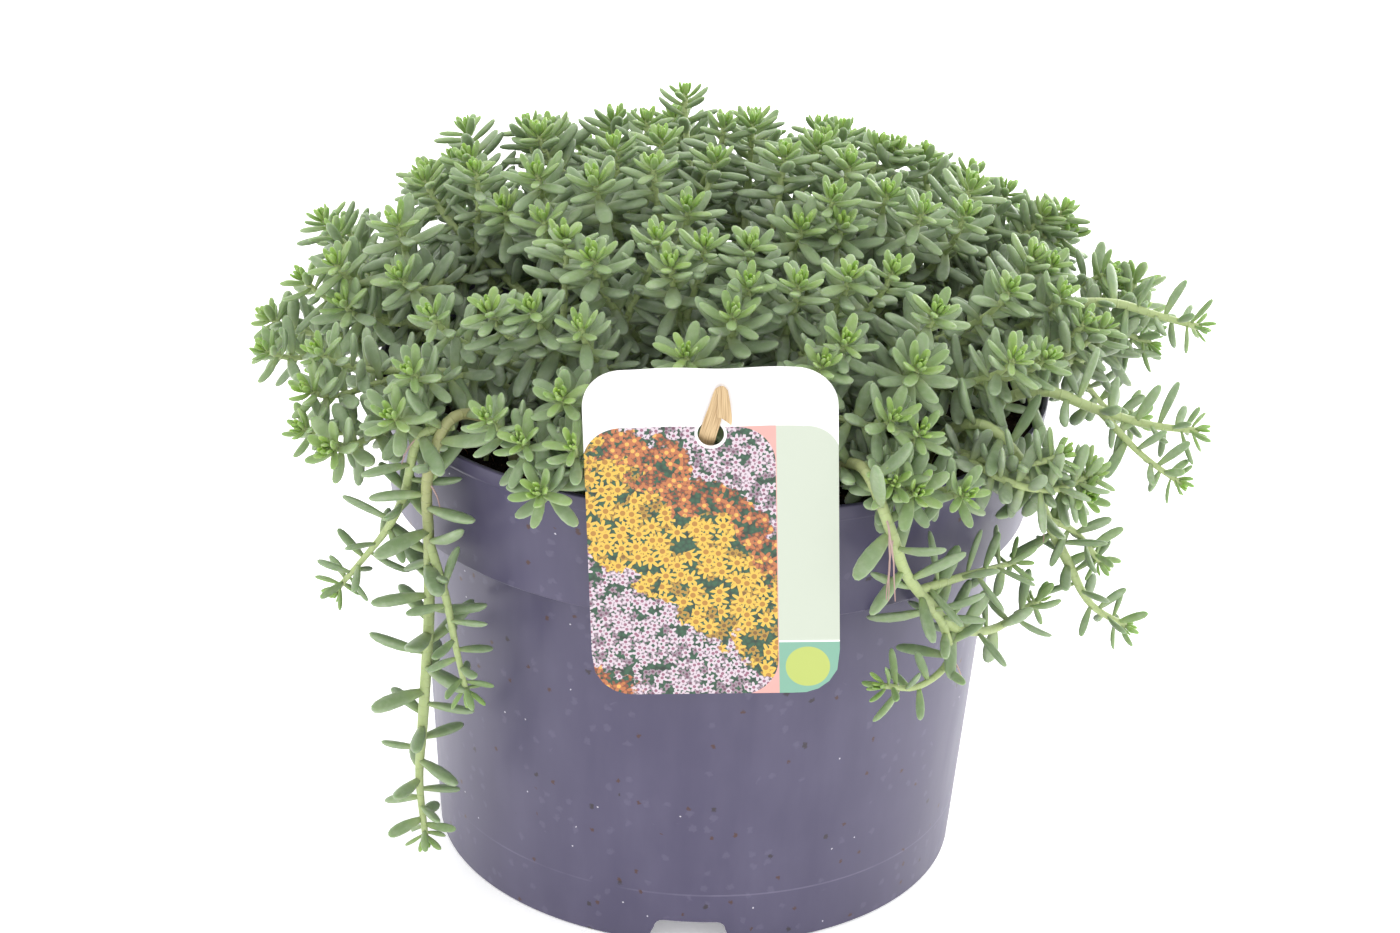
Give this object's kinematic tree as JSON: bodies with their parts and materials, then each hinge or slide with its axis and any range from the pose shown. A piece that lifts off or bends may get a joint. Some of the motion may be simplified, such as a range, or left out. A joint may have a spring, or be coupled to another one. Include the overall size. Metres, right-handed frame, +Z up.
{
  "type": "potted stonecrop plant",
  "caption": "Low, bushy stonecrop with club-shaped succulent leaves on trailing stems, growing in a tapered round nursery pot with a plant label tied at its rim.",
  "frame": {"origin": "middle of the pot's underside, on the surface that the pot stands on", "axes": "+Z up along the pot's axis, -Y towards the front with the label, +X to the label's right"},
  "size_m": [0.2735, 0.2297, 0.2125],
  "materials": {
    "pot_plastic": "satin moulded polypropylene, slate violet-grey, with white dust and dried splashes",
    "potting_soil": "damp dark peat with reddish fibres and crumbs",
    "label_card": "thin printed plastic label, satin",
    "raffia": "dry flat raffia strand, fibrous",
    "foliage": "fleshy, waxy green leaves, grey-green when old and yellow-green at the tips"
  },
  "bodies": {
    "root": {"pot": "pot_plastic", "soil": "potting_soil", "label": "label_card", "label_tie": "raffia", "spray_01": "foliage", "spray_02": "foliage", "spray_03": "foliage", "spray_04": "foliage", "spray_05": "foliage", "spray_06": "foliage", "spray_07": "foliage", "spray_08": "foliage", "spray_09": "foliage", "spray_10": "foliage", "spray_11": "foliage", "spray_12": "foliage", "spray_13": "foliage", "spray_14": "foliage", "spray_15": "foliage", "spray_16": "foliage", "spray_17": "foliage", "spray_18": "foliage", "spray_19": "foliage", "spray_20": "foliage", "spray_21": "foliage", "spray_22": "foliage", "spray_23": "foliage", "spray_24": "foliage", "spray_25": "foliage", "spray_26": "foliage", "spray_27": "foliage", "spray_28": "foliage", "spray_29": "foliage", "spray_30": "foliage", "spray_31": "foliage", "spray_32": "foliage", "spray_33": "foliage", "spray_34": "foliage", "spray_35": "foliage", "spray_36": "foliage", "spray_37": "foliage", "spray_38": "foliage", "spray_39": "foliage", "spray_40": "foliage", "spray_41": "foliage", "spray_42": "foliage", "spray_43": "foliage", "spray_44": "foliage", "spray_45": "foliage", "spray_46": "foliage", "spray_47": "foliage", "spray_48": "foliage", "spray_49": "foliage", "spray_50": "foliage", "spray_51": "foliage", "spray_52": "foliage", "spray_53": "foliage", "spray_54": "foliage", "spray_55": "foliage"}
  },
  "joints": []
}
